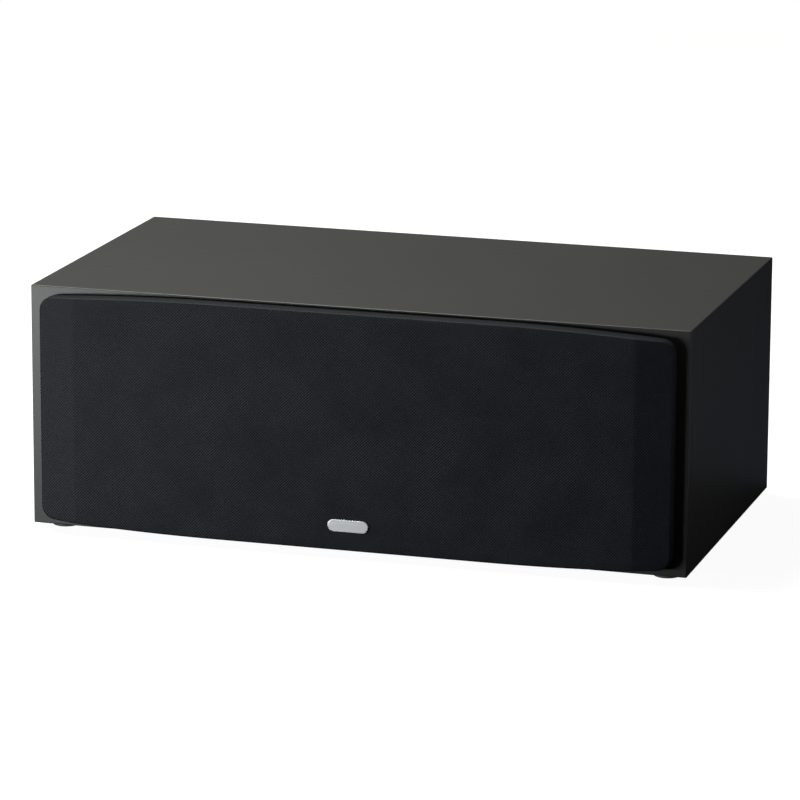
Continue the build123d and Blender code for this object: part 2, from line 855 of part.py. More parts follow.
tweeter_coil = turned(
    tweeter_plane,
    (dome_radius - tweeter_former, film_depth),
    (dome_radius, film_depth),
    (dome_radius, film_depth + tweeter_coil_length),
    (dome_radius - tweeter_former, film_depth + tweeter_coil_length),
)
keep(tweeter_coil, "tweeter_coil")

tweeter_top_plate = turned(
    tweeter_plane,
    (dome_radius + coil_clearance, film_depth),
    (tweeter_plate_radius, film_depth),
    (tweeter_plate_radius, tweeter_magnet_depth),
    (dome_radius + coil_clearance, tweeter_magnet_depth),
)
keep(tweeter_top_plate, "tweeter_top_plate")

tweeter_magnet = turned(
    tweeter_plane,
    (tweeter_magnet_inner, tweeter_magnet_depth),
    (tweeter_magnet_radius, tweeter_magnet_depth),
    (tweeter_magnet_radius, tweeter_yoke_depth),
    (tweeter_magnet_inner, tweeter_yoke_depth),
)
keep(tweeter_magnet, "tweeter_magnet")

tweeter_pole_radius = dome_radius - tweeter_former - coil_clearance
tweeter_yoke = turned(
    tweeter_plane,
    (0, film_depth + pole_setback),
    (tweeter_pole_radius, film_depth + pole_setback),
    (tweeter_pole_radius, tweeter_yoke_depth),
    (tweeter_plate_radius, tweeter_yoke_depth),
    (tweeter_plate_radius, tweeter_yoke_depth + tweeter_back_thickness),
    (0, tweeter_yoke_depth + tweeter_back_thickness),
)
keep(tweeter_yoke, "tweeter_yoke")

# Pan-head screws of the drivers and of the terminal cup
screw_sets = [(from_front(0, x), woofer_screw_places, screw_length) for x in woofers.values()]
screw_sets.append((from_front(0), tweeter_screw_places, screw_length))
screw_sets.append((from_rear(screw_head_height, terminal_x), cup_screw_places, cup_screw_length))
with BuildPart() as panel_screws:
    for plane, places, length in screw_sets:
        with BuildSketch(plane):
            with Locations(*places):
                Circle(screw_head_radius)
        extrude(amount=screw_head_height)
        with BuildSketch(plane):
            with Locations(*places):
                Circle(screw_radius)
        extrude(amount=-length)
    head_groups = panel_screws.edges().filter_by(GeomType.CIRCLE).group_by(Axis.Y)
    fillet(head_groups[0] + head_groups[-1], screw_head_round)
keep(panel_screws, "panel_screws")

# Flared port in the rear panel
port_plane = rear_section(port_x)
with BuildPart() as port_tube:
    with BuildSketch(port_plane):
        with BuildLine():
            Polyline(
                (port_radius + port_flare, 0),
                (port_flange_radius, 0),
                (port_flange_radius, port_flange_thickness),
                (port_collar, port_flange_thickness),
                (port_outer, port_flare + port_wall),
                (port_outer, port_length),
                (port_radius, port_length),
                (port_radius, port_flare),
            )
            TangentArc((port_radius, port_flare), (port_radius + port_flare, 0), tangent=(0, -1))
        make_face()
    revolve(axis=Axis(port_plane.origin, port_plane.y_dir))
keep(port_tube, "port_tube")

# Terminal cup: a drafted recess, sunk screw heads, and bosses behind it for the crossover board
with BuildPart() as terminal_cup:
    with BuildSketch(from_rear(0, terminal_x)):
        RectangleRounded(cup_width, cup_height, cup_corner)
    extrude(amount=-cup_plate)
    with BuildSketch(from_rear(cup_plate, terminal_x)):
        RectangleRounded(cup_body_width, cup_body_height, cup_corner)
    extrude(amount=cup_plate - cup_floor_back, taper=cup_draft)
    with BuildSketch(from_rear(0, terminal_x)):
        RectangleRounded(cup_inner_width, cup_inner_height, cup_corner - cup_wall)
    extrude(amount=-cup_depth, taper=cup_draft, mode=Mode.SUBTRACT)
    with BuildSketch(from_rear(cup_floor_back, terminal_x)):
        with Locations(*board_boss_places):
            Circle(board_boss_radius)
    extrude(amount=-board_boss)
    with BuildSketch(from_rear(cup_depth, terminal_x)):
        with GridLocations(post_spacing, 0, 2, 1):
            Circle(post_radius + driver_clearance)
    extrude(amount=-cup_wall, mode=Mode.SUBTRACT)
    with BuildSketch(from_rear(0, terminal_x)):
        with Locations(*cup_screw_places):
            Circle(screw_hole)
    extrude(amount=-cup_plate, mode=Mode.SUBTRACT)
    with BuildSketch(from_rear(0, terminal_x)):
        with Locations(*cup_screw_places):
            Circle(screw_head_radius + driver_clearance)
    extrude(amount=-screw_head_height, mode=Mode.SUBTRACT)
keep(terminal_cup, "terminal_cup")

# Binding posts: a bored stud with its collar and nut, a threaded core and a knob on it
collar_depth = cup_depth - post_collar
post_end = collar_depth - post_length
insert_inner = post_radius + thread_clearance
insert_outer = insert_inner + insert_wall
knob_inner = insert_outer + thread_clearance
knob_outer = knob_inner + knob_wall
knob_end = collar_depth - knob_length
insert_end = knob_end + knob_cap
for sign, x in (
    ("negative", terminal_x - post_spacing / 2),
    ("positive", terminal_x + post_spacing / 2),
):
    plane = rear_section(x)
    with BuildPart() as post:
        with BuildSketch(plane):
            with BuildLine():
                Polyline(
                    (post_bore, post_end),
                    (post_radius, post_end),
                    (post_radius, collar_depth),
                    (post_collar_radius, collar_depth),
                    (post_collar_radius, cup_depth),
                    (post_radius, cup_depth),
                    (post_radius, cup_floor_back),
                    (tail_radius, cup_floor_back),
                    (tail_radius, board_face + tail_rise),
                    (0, board_face + tail_rise),
                    (0, post_end + post_bore_depth),
                    (post_bore, post_end + post_bore_depth),
                    close=True,
                )
            make_face()
        revolve(axis=Axis(plane.origin, plane.y_dir))
        with BuildSketch(from_rear(cup_floor_back, x)):
            RegularPolygon(post_nut_radius, 6)
        extrude(amount=-post_nut)
    keep(post, f"post_{sign}")

    insert = turned(
        plane,
        (insert_inner, collar_depth),
        (insert_outer, collar_depth),
        (insert_outer, insert_end),
        (insert_inner, insert_end),
    )
    keep(insert, f"insert_{sign}")

    with BuildPart() as knob:
        with BuildSketch(plane):
            with BuildLine():
                Polyline(
                    (knob_inner, collar_depth),
                    (knob_outer, collar_depth),
                    (knob_outer, knob_end),
                    (insert_inner, knob_end),
                    (insert_inner, insert_end),
                    (knob_inner, insert_end),
                    close=True,
                )
            make_face()
        revolve(axis=Axis(plane.origin, plane.y_dir))
        rims = knob.edges().filter_by(GeomType.CIRCLE).group_by(Axis.Y)[-1]
        fillet(rims.sort_by(SortBy.RADIUS)[-1], knob_round)
    keep(knob, f"knob_{sign}")

# Crossover on the terminal cup's bosses, its parts facing into the cabinet
with BuildPart() as crossover_board:
    with BuildSketch(from_rear(board_depth, terminal_x)):
        Rectangle(board_width, board_height)
        with GridLocations(post_spacing, 0, 2, 1):
            Circle(tail_radius + driver_clearance, mode=Mode.SUBTRACT)
    extrude(amount=-board_thickness)
keep(crossover_board, "crossover_board")

coil_form_z = board_height / 2 - part_gap - coil_form_radius
coil_form_x = coil_form_radius + part_gap / 2
with BuildPart() as crossover_coils:
    for x in (-coil_form_x, coil_form_x):
        coil_planes = [
            (board_face, coil_form_radius, coil_flange),
            (board_face + coil_flange, coil_form_radius - coil_flange, coil_form_height - 2 * coil_flange),
            (board_face + coil_form_height - coil_flange, coil_form_radius, coil_flange),
        ]
        for depth, radius, height in coil_planes:
            with BuildSketch(from_rear(depth, terminal_x)):
                with Locations((x, coil_form_z)):
                    Circle(radius)
                    Circle(coil_form_hole, mode=Mode.SUBTRACT)
            extrude(amount=-height)
keep(crossover_coils, "crossover_coils")

capacitor_z = -(tail_radius + part_gap + capacitor_radius)
capacitor_x = capacitor_length / 2 + part_gap / 2
capacitor_y = rear_y - board_face - capacitor_radius
with BuildPart() as crossover_capacitors:
    for x in (terminal_x - capacitor_x, terminal_x + capacitor_x):
        centre = (x, capacitor_y, centre_z + capacitor_z)
        with BuildSketch(Plane(origin=centre, x_dir=(0, 1, 0), z_dir=(1, 0, 0))):
            Circle(capacitor_radius)
        extrude(amount=capacitor_length / 2, both=True)
keep(crossover_capacitors, "crossover_capacitors")

resistor_z = capacitor_z - capacitor_radius - part_gap - resistor_side / 2
with BuildPart() as crossover_resistors:
    with BuildSketch(from_rear(board_face, terminal_x)):
        with Locations((-capacitor_x, resistor_z), (capacitor_x, resistor_z)):
            Rectangle(resistor_length, resistor_side)
    extrude(amount=-resistor_side)
keep(crossover_resistors, "crossover_resistors")

# Leads from the board to the drivers, along the top of the cabinet and through the braces' windows
tab_radius = cup_outer + (spider_radius + basket_wall - cup_outer) / 2
tab_depth = spider_depth + basket_wall + lead_gap
lead_start = cabinet_depth - board_face - lead_gap
lead_left_x = terminal_x - board_width / 2 + lead_edge
lead_right_x = terminal_x + board_width / 2 - lead_edge
lead_high_z = board_height / 2 - lead_edge
tweeter_back = tweeter_yoke_depth + tweeter_back_thickness + lead_gap
over_magnet = woofer_magnet_radius + 4 * lead_radius
behind_basket = (plate_depth + tab_depth) / 2
lead_routes = {
    "right": [
        (lead_right_x, lead_start, lead_high_z),
        (lead_right_x, lead_start - 35, lead_high_z),
        (woofer_x, lead_start - 75, over_magnet),
        (woofer_x, behind_basket + 24, over_magnet + lead_bend),
        (woofer_x, behind_basket, tab_radius),
        (woofer_x, tab_depth, tab_radius),
    ],
    "left": [
        (lead_left_x, lead_start, lead_high_z),
        (lead_left_x, lead_start - 30, lead_high_z),
        (brace_x / 2, lead_start - 52, lead_high_z),
        (-brace_x, lead_start - 58, lead_high_z),
        (-woofer_x, lead_start - 95, over_magnet),
        (-woofer_x, behind_basket + 24, over_magnet + lead_bend),
        (-woofer_x, behind_basket, tab_radius),
        (-woofer_x, tab_depth, tab_radius),
    ],
    "tweeter": [
        (lead_left_x, lead_start, 0),
        (lead_left_x, lead_start - 35, 0),
        (tweeter_plate_radius / 2, lead_start - 70, -10),
        (tweeter_plate_radius / 2, tweeter_back + 40, -10),
        (tweeter_plate_radius / 2, tweeter_back, 0),
    ],
}
with BuildPart() as wiring:
    for route in lead_routes.values():
        with BuildLine() as path:
            FilletPolyline(*[(x, front_y + depth, centre_z + z) for x, depth, z in route], radius=lead_bend)
        with BuildSketch(Plane(origin=path.line @ 0, z_dir=path.line % 0)):
            Circle(lead_radius)
        sweep(path=path.line)
keep(wiring, "wiring")
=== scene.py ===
from math import atan, cos, pi, radians, sin, sqrt, tan

import bmesh
import bpy
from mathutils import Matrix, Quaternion, Vector


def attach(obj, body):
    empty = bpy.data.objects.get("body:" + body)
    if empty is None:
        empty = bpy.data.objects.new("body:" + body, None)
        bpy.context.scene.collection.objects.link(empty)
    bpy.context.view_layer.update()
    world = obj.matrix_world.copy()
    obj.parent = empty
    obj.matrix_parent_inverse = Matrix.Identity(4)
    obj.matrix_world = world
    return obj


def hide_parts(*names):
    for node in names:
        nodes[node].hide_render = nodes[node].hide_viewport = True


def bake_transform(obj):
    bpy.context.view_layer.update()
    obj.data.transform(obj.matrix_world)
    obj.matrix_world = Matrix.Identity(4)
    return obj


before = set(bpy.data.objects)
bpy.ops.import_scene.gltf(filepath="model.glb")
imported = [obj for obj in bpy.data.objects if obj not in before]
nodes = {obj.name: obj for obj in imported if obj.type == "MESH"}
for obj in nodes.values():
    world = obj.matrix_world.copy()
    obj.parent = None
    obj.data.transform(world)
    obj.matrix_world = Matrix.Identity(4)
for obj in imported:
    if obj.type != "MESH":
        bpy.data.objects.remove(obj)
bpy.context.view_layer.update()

MM = 0.001

# Places and sizes that repeat the part's own, in metres
FRONT = -121.9 * MM  # the baffle's face
REAR = 136.1 * MM
MIDDLE = 91.5 * MM  # height of the drivers' axes
WOOFER_X = 126 * MM
TERMINAL_X = 110 * MM
POST_HALF = 9.5 * MM

GRILLE_BACK = FRONT - 1 * MM
GRILLE_DEPTH = 12 * MM
GRILLE_END_DEPTH = 8 * MM
GRILLE_HALF_WIDTH = 231.6 * MM
GRILLE_HALF_HEIGHT = 85.3 * MM
GRILLE_END_DROP = 4.5 * MM
GRILLE_STRAIGHT = 100 * MM
GRILLE_CORNER = 10 * MM
GRILLE_ROUND = 1.5 * MM
CREASE_X = 205 * MM
CREASE_RADIUS = 15 * MM

SURROUND_RADIUS = 62.2 * MM
ROLL_OUTER = 56.9 * MM
ROLL_INNER = 47.9 * MM
LIP_INNER = 43.4 * MM
ROLL_HEIGHT = 4 * MM
SEAT_DEPTH = 2.2 * MM
RUBBER = 1 * MM

SPIDER_RADIUS = 40 * MM
SPIDER_WAVE_OUTER = 36.5 * MM
SPIDER_WAVE_INNER = 15.9 * MM
SPIDER_INNER = 13.2 * MM
SPIDER_FRONT = 30 * MM
SPIDER_CLOTH = 0.6 * MM
SPIDER_WAVE = 1.4 * MM
SPIDER_ROLLS = 5
SPIDER_SECTORS = 12

SCREW_HEAD = 3.4 * MM
SCREW_RISE = 1.8 * MM
SCREW_ROUND = 0.8 * MM
SCREW_SHANK = 1.7 * MM
SCREW_LENGTH = 16 * MM
SCREW_TIP = 1.5 * MM
CUP_SCREW_LENGTH = 12 * MM
CROSS_REACH = 2.0 * MM  # half the length of the recess's arms
CROSS_HALF = 0.55 * MM  # half their width
CROSS_DEPTH = 1.1 * MM
CROSS_TAPER = 0.7  # the recess's floor against its mouth
WOOFER_SCREW_CIRCLE = 66.7 * MM
TWEETER_SCREW_CIRCLE = 47.7 * MM
CUP_SCREW = (43 * MM, 31 * MM)
SCREW_TURN = 0.7  # from one screw's recess to the next

KNOB_END = 6 * MM  # depths from the rear face
KNOB_SEAT = 22 * MM
KNOB_CAP = 2 * MM
KNOB_OUTER = 7.65 * MM
KNOB_BORE = 5.45 * MM
KNOB_HOLE = 3.55 * MM
FLUTES = 16
FLUTE_DEPTH = 0.55 * MM


# Finishes
def linear(hex_colour):
    """An sRGB hex colour as linear red, green, blue and alpha."""
    channels = [int(hex_colour[place : place + 2], 16) / 255 for place in (1, 3, 5)]
    return [c / 12.92 if c <= 0.04045 else ((c + 0.055) / 1.055) ** 2.4 for c in channels] + [1.0]


def add(tree, kind, settings=None, **inputs):
    """Adds a node. Inputs go by socket name or, after an underscore, number: a value or another socket."""
    node = tree.nodes.new(kind)
    for name, value in (settings or {}).items():
        setattr(node, name, value)
    for name, value in inputs.items():
        key = int(name[1:]) if name[0] == "_" else name.replace("_", " ")
        if isinstance(value, bpy.types.NodeSocket):
            tree.links.new(value, node.inputs[key])
        else:
            node.inputs[key].default_value = value
    return node


def finish(name, colour, roughness, **sockets):
    """A material with its main shader; returns the material, its tree and the shader."""
    material = bpy.data.materials.new(name)
    material.use_nodes = True
    tree = material.node_tree
    shader = tree.nodes["Principled BSDF"]
    shader.inputs["Base Color"].default_value = linear(colour)
    shader.inputs["Roughness"].default_value = roughness
    for socket, value in sockets.items():
        shader.inputs[socket.replace("_", " ")].default_value = value
    return material, tree, shader


def dress(material, *names):
    """Gives CAD nodes a material."""
    for name in names:
        slots = nodes[name].data.materials
        slots.clear()
        slots.append(material)


def speckle(tree, shader, dark, light, grain, roughness, depth=0.03, place=None):
    """Two tones, two roughnesses and a shallow relief from one grain, whose size is in millimetres."""
    if place is None:
        place = add(tree, "ShaderNodeTexCoord").outputs["Object"]
    noise = add(tree, "ShaderNodeTexNoise", Vector=place, Scale=1 / (grain * MM), Detail=3.0, Roughness=0.6)
    tone = add(tree, "ShaderNodeMapRange", _0=noise.outputs["Fac"], _1=0.3, _2=0.7)
    colour = add(
        tree,
        "ShaderNodeMix",
        {"data_type": "RGBA"},
        _0=tone.outputs[0],
        _6=linear(dark),
        _7=linear(light),
    )
    polish = add(
        tree, "ShaderNodeMapRange", _0=noise.outputs["Fac"], _1=0.3, _2=0.7, _3=roughness[0], _4=roughness[1]
    )
    relief = add(
        tree, "ShaderNodeBump", Strength=0.6, Distance=depth * MM, Height=noise.outputs["Fac"]
    )
    tree.links.new(colour.outputs[2], shader.inputs["Base Color"])
    tree.links.new(polish.outputs[0], shader.inputs["Roughness"])
    tree.links.new(relief.outputs[0], shader.inputs["Normal"])
    return colour, relief


# Vinyl wrap on fibreboard, calendered with a faint ash grain: satin, with long soft streaks along each panel
def vinyl_wrap(name, streak_axis):
    """Satin vinyl whose grain runs along one axis of the cabinet."""
    material, tree, shader = finish(name, "#1f1f1e", 0.42)
    shader.inputs["Specular IOR Level"].default_value = 0.26
    place = add(tree, "ShaderNodeTexCoord").outputs["Object"]
    # the real grain is about 0.4 mm wide; it is drawn at 2 mm so that it shows
    stretch = [1 / (2 * MM)] * 3
    stretch[streak_axis] = 1 / (90 * MM)
    streaks = add(tree, "ShaderNodeMapping", Vector=place, Scale=stretch)
    grain = add(tree, "ShaderNodeTexNoise", Vector=streaks.outputs[0], Scale=1.0, Detail=4.0, Roughness=0.55)
    clouds = add(tree, "ShaderNodeTexNoise", Vector=place, Scale=1 / (120 * MM), Detail=2.0)
    both = add(
        tree, "ShaderNodeMath", {"operation": "ADD"}, _0=grain.outputs["Fac"], _1=clouds.outputs["Fac"]
    )
    tone = add(tree, "ShaderNodeMapRange", _0=both.outputs[0], _1=0.7, _2=1.3)
    colour = add(
        tree,
        "ShaderNodeMix",
        {"data_type": "RGBA"},
        _0=tone.outputs[0],
        _6=linear("#1e1e1d"),
        _7=linear("#212120"),
    )
    polish = add(
        tree, "ShaderNodeMapRange", _0=grain.outputs["Fac"], _1=0.3, _2=0.7, _3=0.40, _4=0.44
    )
    emboss = add(
        tree, "ShaderNodeBump", Strength=0.15, Distance=0.03 * MM, Height=grain.outputs["Fac"]
    )
    tree.links.new(colour.outputs[2], shader.inputs["Base Color"])
    tree.links.new(polish.outputs[0], shader.inputs["Roughness"])
    tree.links.new(emboss.outputs[0], shader.inputs["Normal"])
    return material


dress(vinyl_wrap("vinyl_wrap_long_grain", 0), "cabinet_top", "cabinet_bottom")
dress(vinyl_wrap("vinyl_wrap_upright_grain", 2), "cabinet_left", "cabinet_right")


# Knitted polyester grille cloth: matte, with a staggered lattice of pores painted near black as the shade
# behind the cloth, and a little blue and green mottling
def knit_cloth():
    """Black knit whose pores follow the cloth's own unrolled measure."""
    material, tree, shader = finish("knitted_polyester", "#191c1f", 0.5)
    shader.inputs["Specular IOR Level"].default_value = 0.06
    place = add(tree, "ShaderNodeTexCoord").outputs["UV"]
    # the real pores are about 1.7 mm apart in staggered rows; they are drawn 2.1 mm apart so that they show
    pitch = 2.1 * MM
    wobble = add(tree, "ShaderNodeTexNoise", Vector=place, Scale=1 / (4 * MM), Detail=2.0)
    shift = add(
        tree,
        "ShaderNodeVectorMath",
        {"operation": "MULTIPLY_ADD"},
        _0=wobble.outputs["Color"],
        _1=[0.7 * MM] * 3,
        _2=place,
    )
    across = add(tree, "ShaderNodeSeparateXYZ", Vector=shift.outputs[0])
    # the lattice has two slants, one or the other stronger as the cloth's tension varies
    slants = []
    for operation in ("ADD", "SUBTRACT"):
        slant = add(
            tree, "ShaderNodeMath", {"operation": operation}, _0=across.outputs[0], _1=across.outputs[1]
        )
        turn = add(tree, "ShaderNodeMath", {"operation": "MULTIPLY"}, _0=slant.outputs[0], _1=2 * pi / pitch)
        slants.append(add(tree, "ShaderNodeMath", {"operation": "COSINE"}, _0=turn.outputs[0]))
    tension = add(tree, "ShaderNodeTexNoise", Vector=place, Scale=1 / (45 * MM), Detail=2.0)
    lean = add(tree, "ShaderNodeMapRange", _0=tension.outputs["Fac"], _1=0.35, _2=0.65, _3=0.3, _4=0.62)
    lattice = add(
        tree, "ShaderNodeMix", _0=lean.outputs[0], _2=slants[0].outputs[0], _3=slants[1].outputs[0]
    )
    mottle = add(tree, "ShaderNodeTexNoise", Vector=place, Scale=1 / (9 * MM), Detail=4.0, Roughness=0.8)
    yarn = add(
        tree,
        "ShaderNodeMix",
        {"data_type": "RGBA"},
        _0=mottle.outputs["Fac"],
        _6=linear("#14161d"),
        _7=linear("#242629"),
    )
    # the pores are nearly black: partly the black paint behind the cloth, partly painted shade of the space
    # behind it
    pore_shade = add(tree, "ShaderNodeMapRange", _0=lattice.outputs[0], _1=-0.5, _2=0.7)
    colour = add(
        tree,
        "ShaderNodeMix",
        {"data_type": "RGBA"},
        _0=pore_shade.outputs[0],
        _6=yarn.outputs[2],
        _7=linear("#020203"),
    )
    relief = add(
        tree, "ShaderNodeBump", {"invert": True}, Strength=0.5, Distance=0.2 * MM, Height=lattice.outputs[0]
    )
    tree.links.new(colour.outputs[2], shader.inputs["Base Color"])
    tree.links.new(relief.outputs[0], shader.inputs["Normal"])
    return material


# Mesh helpers
def new_piece(name, mesh, material, body):
    """Links a finished mesh as a piece of the object, smooth shaded, on its body."""
    for face in mesh.polygons:
        face.use_smooth = True
    piece = bpy.data.objects.new(name, mesh)
    bpy.context.scene.collection.objects.link(piece)
    mesh.materials.append(material)
    if body:
        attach(piece, body)
    return piece


def turned(name, centre_x, outline, steps=96, ripple=None, span=None):
    """A surface turned about a driver's axis from points of radius and depth behind the baffle's face.

    Ripple, where given, takes a radius, a depth and an angle and returns another radius. Span, where given,
    holds the first and the last angle of a part turn."""
    first, last = span or (0, 2 * pi)
    rows = steps + 1 if span else steps
    verts = []
    for step in range(rows):
        angle = first + (last - first) * step / steps
        for radius, depth in outline:
            reach = ripple(radius, depth, angle) if ripple else radius
            verts.append((centre_x + reach * cos(angle), FRONT + depth, MIDDLE + reach * sin(angle)))
    count = len(outline)
    faces = []
    for step in range(steps):
        here, there = step * count, (step + 1) % rows * count
        for place in range(count - 1):
            faces.append((here + place, here + place + 1, there + place + 1, there + place))
    mesh = bpy.data.meshes.new(name)
    mesh.from_pydata(verts, [], faces)
    return mesh


# Grille cloth: pulled over the frame from a hem in the groove at its back
def grille_quarter():
    """A quarter of the grille's outline from its top middle to its end: points and outward directions."""
    reach = GRILLE_HALF_WIDTH - GRILLE_STRAIGHT
    bow = (reach**2 + GRILLE_END_DROP**2) / (2 * GRILLE_END_DROP)
    bow_centre = Vector((GRILLE_STRAIGHT, GRILLE_HALF_HEIGHT - bow))
    corner_x = GRILLE_HALF_WIDTH - GRILLE_CORNER
    corner_z = bow_centre.y + sqrt((bow - GRILLE_CORNER) ** 2 - (corner_x - GRILLE_STRAIGHT) ** 2)
    corner = Vector((corner_x, corner_z))
    points = []
    for step in range(11):
        points.append((Vector((GRILLE_STRAIGHT * step / 10, GRILLE_HALF_HEIGHT)), Vector((0, 1))))
    bend = [-8, -4, -2, -1.1, -0.5, 0, 0.5, 1.1, 2, 4, 8]
    columns = [GRILLE_STRAIGHT + 10 * MM * step for step in range(1, 10)]
    columns += [CREASE_X + offset * MM for offset in bend]
    for x in columns:
        outward = Vector((x - GRILLE_STRAIGHT, sqrt(bow**2 - (x - GRILLE_STRAIGHT) ** 2))) / bow
        points.append((bow_centre + outward * bow, outward))
    first = (corner - bow_centre).normalized()
    steepest = atan(first.y / first.x)
    for step in range(9):
        angle = steepest * (1 - step / 8)
        outward = Vector((cos(angle), sin(angle)))
        points.append((corner + outward * GRILLE_CORNER, outward))
    for step in range(1, 8):
        points.append((Vector((GRILLE_HALF_WIDTH, corner_z * (1 - step / 7))), Vector((1, 0))))
    return points


def grille_front(x):
    """Where the cloth's face lies at a distance from the middle: flat, then bevelled past the crease."""
    slope = (GRILLE_DEPTH - GRILLE_END_DEPTH) / (GRILLE_HALF_WIDTH - CREASE_X)
    flat_end = CREASE_X - CREASE_RADIUS * tan(atan(slope) / 2)
    past = abs(x) - flat_end
    face = GRILLE_BACK - GRILLE_DEPTH
    if past <= 0:
        return face
    if past < CREASE_RADIUS * sin(atan(slope)):
        return face + CREASE_RADIUS - sqrt(CREASE_RADIUS**2 - past**2)
    return face + slope * (abs(x) - CREASE_X)


def grille_loop():
    """The whole outline, clockwise from the top middle as seen from the front."""
    quarter = grille_quarter()
    loop = list(quarter)
    for flip_x, flip_z, back in ((1, -1, True), (-1, -1, False), (-1, 1, True)):
        turned_quarter = reversed(quarter) if back else quarter
        copies = [
            (Vector((p.x * flip_x, p.y * flip_z)), Vector((n.x * flip_x, n.y * flip_z)))
            for p, n in turned_quarter
        ]
        loop += copies[1:]
    return loop[:-1]


def stretched_cloth():
    """The cloth as one sheet, with its unrolled measure in metres as texture coordinates."""
    loop = grille_loop()
    spine_end = CREASE_X + 10 * MM
    hem = [(3.6, -3.0), (3.3, -0.4), (3.0, 0.3), (0.7, 0.4), (0.15, 0.25)]
    rounding_steps, wall_steps, face_steps = 7, 3, 16
    rows, maps = [], []
    edge_length = GRILLE_ROUND * pi / 2
    for inset, rise in hem:
        y = GRILLE_BACK + rise * MM
        rows.append([(p - n * inset * MM, y) for p, n in loop])
        maps.append([p + n * (edge_length + GRILLE_END_DEPTH + inset * MM) for p, n in loop])
    for step in range(wall_steps):
        row, measure = [], []
        for p, n in loop:
            top = grille_front(p.x) + GRILLE_ROUND
            share = step / wall_steps
            y = GRILLE_BACK * (1 - share) + top * share
            row.append((p, y))
            measure.append(p + n * (edge_length - GRILLE_ROUND + y - top))
        rows.append(row)
        maps.append(measure)
    for step in range(rounding_steps + 1):
        angle = pi / 2 * step / rounding_steps
        row, measure = [], []
        for p, n in loop:
            place = p - n * GRILLE_ROUND * (1 - cos(angle))
            y = grille_front(place.x) + GRILLE_ROUND * (1 - sin(angle))
            row.append((place, y))
            measure.append(p - n * GRILLE_ROUND + n * GRILLE_ROUND * (pi / 2 - angle))
        rows.append(row)
        maps.append(measure)
    edge = rows[-1]
    for step in range(1, face_steps + 1):
        share = step / face_steps
        row = []
        for place, _ in edge:
            spine = Vector((max(-spine_end, min(spine_end, place.x)), 0))
            inner = place.lerp(spine, share)
            row.append((inner, grille_front(inner.x)))
        rows.append(row)
        maps.append([inner for inner, _ in row])
    mesh = bpy.data.meshes.new("grille_cloth_sheet")
    build = bmesh.new()
    unrolled = build.loops.layers.uv.new("unrolled")
    grid = [[build.verts.new((p.x, y, MIDDLE + p.y)) for p, y in row] for row in rows]
    count = len(loop)
    for level in range(len(rows) - 1):
        for place in range(count):
            after = (place + 1) % count
            corners = ((level, place), (level + 1, place), (level + 1, after), (level, after))
            face = build.faces.new([grid[row][column] for row, column in corners])
            for corner, (row, column) in zip(face.loops, corners):
                corner[unrolled].uv = maps[row][column]
    bmesh.ops.remove_doubles(build, verts=build.verts, dist=0.01 * MM)
    bmesh.ops.recalc_face_normals(build, faces=build.faces)
    build.to_mesh(mesh)
    build.free()
    return mesh


cloth = new_piece("grille_cloth_sheet", stretched_cloth(), knit_cloth(), "grille")
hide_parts("grille_cloth")


# Moulded ABS, spark-eroded mould texture: matte black with a fine even grain
frame_plastic, tree, shader = finish("moulded_abs", "#151516", 0.6)
speckle(tree, shader, "#121213", "#19191a", 1.2, (0.5, 0.65))
dress(frame_plastic, "grille_frame", "port_tube", "terminal_cup")

# Satin anodised aluminium, brushed lengthwise: bright, with fine lines along X
badge_metal, tree, shader = finish("brushed_aluminium", "#a6a7a8", 0.4, Metallic=1.0)
place = add(tree, "ShaderNodeTexCoord").outputs["Object"]
lines = add(tree, "ShaderNodeMapping", Vector=place, Scale=(1 / (30 * MM), 1 / (0.3 * MM), 1 / (0.3 * MM)))
brushing = add(tree, "ShaderNodeTexNoise", Vector=lines.outputs[0], Scale=1.0, Detail=3.0)
scratch = add(tree, "ShaderNodeMapRange", _0=brushing.outputs["Fac"], _3=0.32, _4=0.48)
tree.links.new(scratch.outputs[0], shader.inputs["Roughness"])
dress(badge_metal, "grille_badge")

# Nickel plating on neodymium: a bright mirror with faint clouding
plated, tree, shader = finish("nickel_plating", "#c9c8c4", 0.18, Metallic=1.0)
speckle(tree, shader, "#bfbeba", "#d2d1cd", 3.0, (0.14, 0.24), 0.005)
dress(plated, "grille_magnets", "baffle_magnets")

# Moulded rubber: dull black, slightly dusty
rubber, tree, shader = finish("moulded_rubber", "#161616", 0.75)
speckle(tree, shader, "#131313", "#1c1c1b", 1.5, (0.65, 0.85))
dress(rubber, *[name for name in nodes if name.startswith("foot_")])

# Fibreboard sprayed with matte black lacquer: even, with a faint orange peel
baffle_paint, tree, shader = finish("matte_lacquer", "#1d1d1d", 0.6)
speckle(tree, shader, "#1a1a1a", "#202020", 2.0, (0.52, 0.62))
dress(baffle_paint, "front_baffle", "rear_panel")

# Bare fibreboard: brown, with short fibres
bare_board, tree, shader = finish("bare_fibreboard", "#a5815a", 0.85)
speckle(tree, shader, "#94724d", "#b08d66", 1.0, (0.8, 0.9))
dress(bare_board, "brace_left", "brace_right")

# Polyester wadding: off-white, soft and cloudy
fleece, tree, shader = finish("polyester_wadding", "#dededa", 0.95)
speckle(tree, shader, "#cfcfca", "#ecece8", 4.0, (0.9, 1.0), 0.6)
dress(fleece, "wadding_left", "wadding_right")

# Cast basket with a powder coat: satin black, finely pebbled
powder_coat, tree, shader = finish("powder_coat", "#18181a", 0.5)
speckle(tree, shader, "#151517", "#1d1d1f", 0.9, (0.42, 0.58), 0.05)
dress(powder_coat, "woofer_left_basket", "woofer_right_basket", "tweeter_faceplate")
dress(powder_coat, "woofer_left_trim_ring", "woofer_right_trim_ring")

# Zinc-plated steel: grey, slightly clouded
zinc, tree, shader = finish("zinc_plated_steel", "#a9aaac", 0.35, Metallic=1.0)
speckle(tree, shader, "#9c9da0", "#b6b7b8", 5.0, (0.28, 0.42), 0.01)
for driver in ("woofer_left", "woofer_right", "tweeter"):
    dress(zinc, f"{driver}_top_plate", f"{driver}_yoke")

